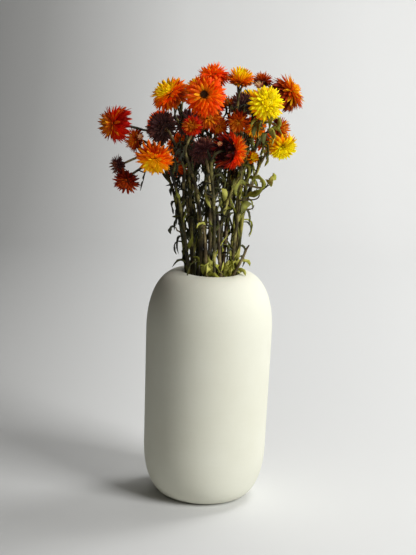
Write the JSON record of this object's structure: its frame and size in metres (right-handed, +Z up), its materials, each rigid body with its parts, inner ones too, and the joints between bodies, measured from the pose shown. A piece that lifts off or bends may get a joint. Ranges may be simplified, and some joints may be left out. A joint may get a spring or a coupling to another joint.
{
  "type": "vase of dried strawflowers",
  "caption": "Bunch of dried strawflowers with pointed papery bracts on leafy stems, standing in a tall round-shouldered stoneware vase.",
  "frame": {"origin": "centre of the vase's flat underside", "axes": "+Z up along the vase's axis, -Y towards the side seen in the picture, +X to the viewer's right"},
  "size_m": [0.2046, 0.1531, 0.453],
  "materials": {
    "stoneware": "matt, unglazed",
    "dry_stem": "dry, dull",
    "scarlet_bracts": "dry, papery, slight sheen",
    "russet_bracts": "dry, papery, slight sheen",
    "maroon_bracts": "dry, papery, slight sheen",
    "plum_bracts": "dry, papery, slight sheen",
    "amber_bracts": "dry, papery, slight sheen",
    "orange_bracts": "dry, papery, slight sheen",
    "gold_bracts": "dry, papery, slight sheen",
    "yellow_bracts": "dry, papery, slight sheen"
  },
  "bodies": {
    "root": {"vase": "stoneware", "head_far_left": "scarlet_bracts", "head_low_brown": "russet_bracts", "head_left_brown": "russet_bracts", "head_low_left": "maroon_bracts", "head_low_left_small": "plum_bracts", "head_left_gold": "amber_bracts", "head_left_dark": "plum_bracts", "head_top_left": "amber_bracts", "head_eye": "orange_bracts", "head_top": "orange_bracts", "head_low_orange": "orange_bracts", "head_red": "scarlet_bracts", "head_top_gold": "gold_bracts", "head_top_brown": "russet_bracts", "head_yellow": "yellow_bracts", "head_right_top": "gold_bracts", "head_right_brown": "maroon_bracts", "head_mid_dark": "plum_bracts", "head_mid_left": "russet_bracts", "head_mid_right": "amber_bracts", "head_right_red": "russet_bracts", "head_right_yellow": "yellow_bracts", "head_centre_dark": "plum_bracts", "head_red_rim": "scarlet_bracts", "head_small_gold": "gold_bracts", "head_bud": "russet_bracts", "head_under_left": "maroon_bracts", "head_mid_rust": "orange_bracts", "head_back_left": "orange_bracts", "head_back_low": "amber_bracts", "head_back_centre": "scarlet_bracts", "head_back_right": "yellow_bracts", "head_back_side": "amber_bracts", "head_back_under": "plum_bracts", "head_back_top": "gold_bracts", "head_dark_left": "plum_bracts", "head_dark_low": "plum_bracts", "stem_a": "dry_stem", "stem_b": "dry_stem", "stem_c": "dry_stem", "stem_d": "dry_stem", "stem_e": "dry_stem", "stem_f": "dry_stem", "stem_g": "dry_stem", "stem_h": "dry_stem", "stem_i": "dry_stem", "stem_j": "dry_stem", "stem_k": "dry_stem", "stem_l": "dry_stem", "stem_m": "dry_stem", "stem_n": "dry_stem", "stem_o": "dry_stem", "stem_p": "dry_stem", "stem_q": "dry_stem", "stem_r": "dry_stem", "stem_s": "dry_stem", "stem_t": "dry_stem", "stem_u": "dry_stem"}
  },
  "joints": []
}
